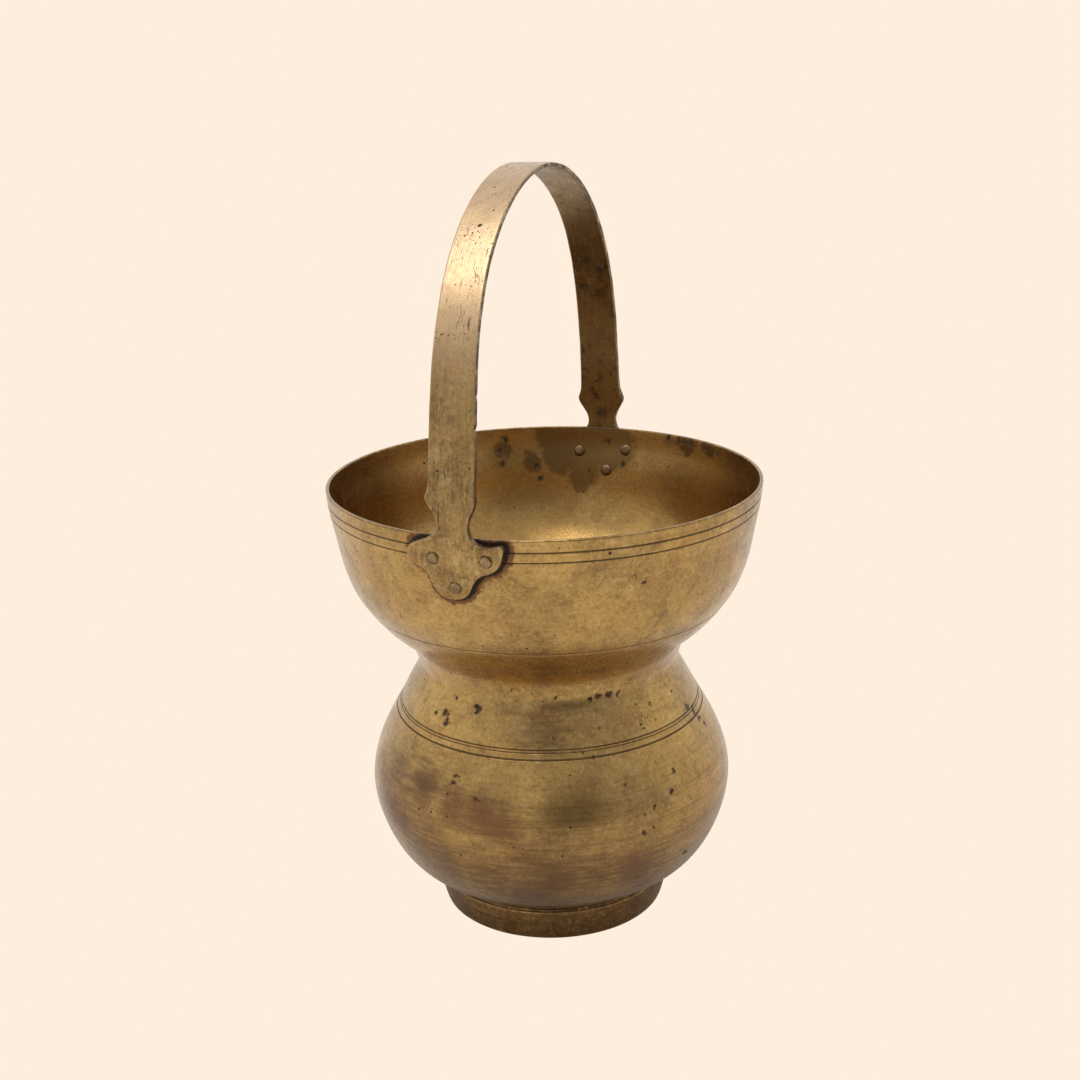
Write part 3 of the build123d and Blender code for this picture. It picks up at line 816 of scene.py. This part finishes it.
def wall_dirt_and_gap_shade(s, color, black):
    """The browner inside, dark incised lines, the rust that hugs the tangs, and black close round
    them: dirt and painted shade of the gap behind each tang.
    """
    color = s.stained(color, s.inner, 0.35, INSIDE)
    groove = s.times(s.step(s.attribute("groove"), 0.08, 0.42), s.step(s.torn, 0.16, 0.42))
    black = s.most(black, s.times(groove, 0.8))
    tang = s.attribute("tang")
    only_here = s.times(s.minus(1.0, s.inner), s.step(s.height(), 140, 150))  # the bowl's outside
    hug = s.plus(s.times(s.step(tang, 5.4, 0.2), 0.54), s.noise(2.6, 6, 0.7, seed=13))
    # Painted shade, mixed with dirt: black close round each tang's outline, for the gap behind it.
    crevice_dirt_and_shade = s.plus(s.times(s.step(tang, 2.8, 0.3), 0.6), s.torn)
    color = s.stained(color, s.times(s.step(hug, 0.64, 0.86), only_here), 0.85, HALO)
    return color, s.most(black, s.times(s.step(crevice_dirt_and_shade, 0.80, 0.98), only_here))


def side_dirt(s, color, black, dark, inner_dark):
    """A darker inner side, and soot along the cut sides."""
    color = s.stained(color, s.inner, inner_dark, dark)
    side = s.attribute("side")
    soot = s.times(s.step(side, 0.45, 0.9), s.step(s.noise(5.0, 6, 0.7, seed=14), 0.40, 0.56))
    return s.stained(color, side, 0.45, dark), s.most(black, s.times(soot, 0.8))


def brass(name, light=GOLD, mid=OLIVE, dark=BROWN, pale=PALE, grain=(0.05, 0.05, 2.6), grain_depth=0.5,
          rough=0.27, coat=0.16, patina=0.5, cloud_depth=0.5, pitted=1.0, edge_mix=0.45, inner_dark=0.6,
          shell=False, marks=(), seats=()):
    """Old brass. A shell has turning lines that fade upwards, stained walls, dark incised lines and
    painted shade round the tangs; seats are the places of rivets in a worn strap with a painted highlight."""
    s = Shade(name)
    s.mottle = s.noise(8, 7, 0.68, seed=2, warp=0.3)
    s.grit = s.noise(1.5, 5, 0.75, seed=3)
    s.streak = s.noise(0.9, 4, 0.65, stretch=grain, seed=4)
    s.wide_streak = s.noise(3.4, 4, 0.62, stretch=grain, seed=5)
    s.torn = s.noise(1.7, 6, 0.72, seed=9)
    s.inner = s.attribute("inner")
    turned = s.plus(0.25, s.times(s.step(s.height(), 92, 48), 0.6)) if shell else 1.0
    color = bare_metal(s, light, mid, dark, pale, s.times(turned, grain_depth))
    tarnish = s.step(s.noise(13, 8, 0.7, seed=7, warp=0.5), 0.62 - 0.14 * patina, 0.80 - 0.12 * patina)
    color = s.stained(color, tarnish, cloud_depth, dark)
    black = pits(s, pitted)
    if shell:
        color, reddish = wall_stains(s, color)
    if marks:
        color, black = tarnish_and_shade_marks(s, color, black, marks)
    if seats:
        color, black = strap_wear_and_highlight(s, color, black, seats)
    if shell:
        color, black = wall_dirt_and_gap_shade(s, color, black)
    else:
        color, black = side_dirt(s, color, black, dark, inner_dark)
    edge = s.times(s.attribute("edge"), s.step(s.noise(3.0, 5, 0.65, seed=12), 0.34, 0.6))
    color = s.stained(color, edge, edge_mix, dark if shell else pale)
    color = s.stained(color, black, 0.93, BLACK)

    dull = s.most(black, s.times(tarnish, 0.25), clamp=True)
    if shell:
        dull = s.most(dull, s.times(reddish, 0.4))
    clean = s.minus(1.0, black)
    roughness = s.plus(rough, s.times(dull, 0.3))
    for field, swing in ((s.mottle, 0.25), (s.grit, 0.2), (s.streak, 0.2)):
        roughness = s.plus(roughness, s.times(s.minus(field, 0.5), swing), clamp=field is s.streak)
    for socket, value in (("Base Color", color), ("Metallic", s.minus(1.0, s.times(dull, 0.8))),
                          ("Roughness", roughness), ("Coat Weight", s.times(clean, coat)),
                          ("Specular IOR Level", 0.25), ("Coat Roughness", 0.18), ("Coat IOR", 1.5)):
        s.feed(s.bsdf.inputs[socket], value)
    s.bumped([(s.mottle, 0.07), (s.grit, 0.02), (s.streak, 0.02), (clean, 0.07)])
    return s.material


shell_brass = brass("aged_brass", shell=True, edge_mix=0.6, coat=0.2, cloud_depth=0.38,
                    marks=on_wall(BOWL_SPOTS + BELLY_SPOTS))
foot_brass = brass("aged_brass_foot", light=(0.30, 0.175, 0.060), mid=(0.20, 0.112, 0.040),
                   dark=(0.08, 0.043, 0.02), patina=0.9, rough=0.33, coat=0.12, edge_mix=0.15)
seam_brass = brass("dark_braze", light=(0.2, 0.12, 0.05), mid=(0.12, 0.07, 0.03), dark=(0.05, 0.03, 0.015),
                   patina=0.9, rough=0.5, coat=0.1)
rivet_seats = [(x, face if facing == "back" else -face, z) for (facing, _), (x, z, face, _) in RIVETS.items()]
strap_brass = brass("forged_brass_strap", light=(0.45, 0.295, 0.108), mid=(0.345, 0.222, 0.080),
                    dark=(0.13, 0.074, 0.034), pale=(0.60, 0.42, 0.22), grain=(1.7, 0.07, 0.07),
                    grain_depth=0.24, rough=0.34, patina=0.7, cloud_depth=0.6, pitted=1.3, inner_dark=0.42,
                    marks=STRAP_MARKS, seats=rivet_seats)
rivet_brass = brass("peened_brass", light=(0.34, 0.235, 0.12), mid=(0.25, 0.165, 0.08),
                    dark=(0.11, 0.065, 0.035), grain=(1, 1, 1), rough=0.40, inner_dark=0.2)

# ---- Dressing -----------------------------------------------------------------------------------
dress = [(bowl, "upper_bowl", "aged_brass", shell_brass), (pot, "lower_pot", "aged_brass", shell_brass),
         (seam, "waist_braze", "braze", shell_brass), (foot, "foot_ring", "foot_brass", foot_brass),
         (bead, "foot_braze", "braze", seam_brass), (handle, "handle_strap", "handle_brass", strap_brass)]
dress += [(piece, node, "rivet_brass", rivet_brass) for node, piece in rivets.items()]
for piece, node, slot, material in dress:
    piece.data.materials.append(material)
    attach(piece, "root")
    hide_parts(node)

# ---- Floor and studio ---------------------------------------------------------------------------
BACKDROP = (0.991, 0.855, 0.723)  # the pale peach of table and background
FLOOR_RADIUS, FLOOR_SIDES = 900, 96
DARK_FROM = math.radians(34)  # the unlit side of the room, where the light tent opens
TENT_LEVELS = ((0.0, 0.92), (0.45, 0.9), (0.7, 0.76), (0.93, 0.58), (1.0, 0.2))  # far side to open side


def plain_to_camera(tree, plain_kind, output_kind, unseen):
    """Ends a node tree so that the camera sees the plain backdrop and light meets another shader."""
    plain, path, both, out = map(tree.nodes.new, (plain_kind, "ShaderNodeLightPath", "ShaderNodeMixShader",
                                                  output_kind))
    plain.inputs["Color"].default_value = (*BACKDROP, 1.0)
    for a, b in ((path.outputs["Is Camera Ray"], both.inputs[0]), (unseen.outputs[0], both.inputs[1]),
                 (plain.outputs[0], both.inputs[2]), (both.outputs[0], out.inputs[0])):
        tree.links.new(a, b)


def table_material():
    """Plain pale table: even to look at, and a matt white board to the light that reaches the brass."""
    material = bpy.data.materials.new("pale_table")
    material.use_nodes = True
    material.node_tree.nodes.clear()
    board = material.node_tree.nodes.new("ShaderNodeBsdfDiffuse")
    board.inputs["Color"].default_value = (0.86, 0.82, 0.78, 1.0)
    plain_to_camera(material.node_tree, "ShaderNodeEmission", "ShaderNodeOutputMaterial", board)
    return material


angles = np.linspace(0, 2 * np.pi, FLOOR_SIDES, endpoint=False)
disc = [(0, 0, 0)] + [(FLOOR_RADIUS * math.cos(a), FLOOR_RADIUS * math.sin(a), 0) for a in angles]
floor = make_mesh("floor", disc, [(0, 1 + i, 1 + (i + 1) % FLOOR_SIDES) for i in range(FLOOR_SIDES)])
floor.data.materials.append(table_material())

def light_tent():
    """A white tent round the vessel, darker towards the side where it opens."""
    world = bpy.data.worlds.new("studio")
    world.use_nodes = True
    tree = world.node_tree
    tree.nodes.clear()
    way, toward, share, fall, tent = map(tree.nodes.new, (
        "ShaderNodeTexCoord", "ShaderNodeVectorMath", "ShaderNodeMapRange", "ShaderNodeValToRGB",
        "ShaderNodeBackground"))
    toward.operation = "DOT_PRODUCT"
    toward.inputs[1].default_value = (math.sin(DARK_FROM), -math.cos(DARK_FROM), 0.05)
    share.inputs["From Min"].default_value = -1.0
    fall.color_ramp.interpolation = "EASE"
    stops = fall.color_ramp.elements
    for place, level in TENT_LEVELS:
        stop = stops.new(place) if 0 < place < 1 else stops[-1 if place else 0]
        stop.color = (level, level, level, 1.0)
    tent.inputs["Color"].default_value = (1.0, 0.97, 0.94, 1.0)
    for a, b in ((way.outputs["Generated"], toward.inputs[0]),
                 (toward.outputs["Value"], share.inputs["Value"]),
                 (share.outputs[0], fall.inputs[0]), (fall.outputs[0], tent.inputs["Strength"])):
        tree.links.new(a, b)
    plain_to_camera(tree, "ShaderNodeBackground", "ShaderNodeOutputWorld", tent)
    return world


bpy.context.scene.world = light_tent()


def softbox(name, azimuth, elevation, distance, size, radiance):
    """A large soft light that faces the vessel; azimuth is in degrees from the front towards +X,
    and distance and size are in metres."""
    data = bpy.data.lights.new(name, "AREA")
    data.shape = "RECTANGLE"
    data.size, data.size_y = size
    data.energy = radiance * math.pi * size[0] * size[1]
    data.color = (1.0, 0.97, 0.93)
    lamp = bpy.data.objects.new(name, data)
    a, e = math.radians(azimuth), math.radians(elevation)
    aim = Vector((0, 0, 0.16))
    away = Vector((math.sin(a) * math.cos(e), -math.cos(a) * math.cos(e), math.sin(e)))
    lamp.location = aim + away * distance
    lamp.rotation_euler = away.to_track_quat("Z", "Y").to_euler()
    bpy.context.scene.collection.objects.link(lamp)


softbox("top", -20, 74, 1.4, (1.0, 1.0), 2.6)
softbox("front_strip", 5, 16, 1.6, (0.2, 0.9), 0.42)

# ---- Camera -------------------------------------------------------------------------------------
camera_data = bpy.data.cameras.new("camera")
camera_data.sensor_width = 36.0
camera_data.lens = 52.81
camera_data.clip_start = 0.01
camera = bpy.data.objects.new("camera", camera_data)
turned = Matrix.Rotation(math.radians(19.3), 4, "Z") @ Matrix.Rotation(math.radians(72.682), 4, "X")
turned = turned @ Matrix.Rotation(math.radians(0.208), 4, "Y") @ Matrix.Rotation(math.radians(-1.43), 4, "Z")
camera.matrix_world = Matrix.Translation((0.2091, -0.5971, 0.3576)) @ turned
bpy.context.scene.collection.objects.link(camera)
bpy.context.scene.camera = camera
bpy.context.scene.view_settings.view_transform = "Standard"

bpy.context.view_layer.update()
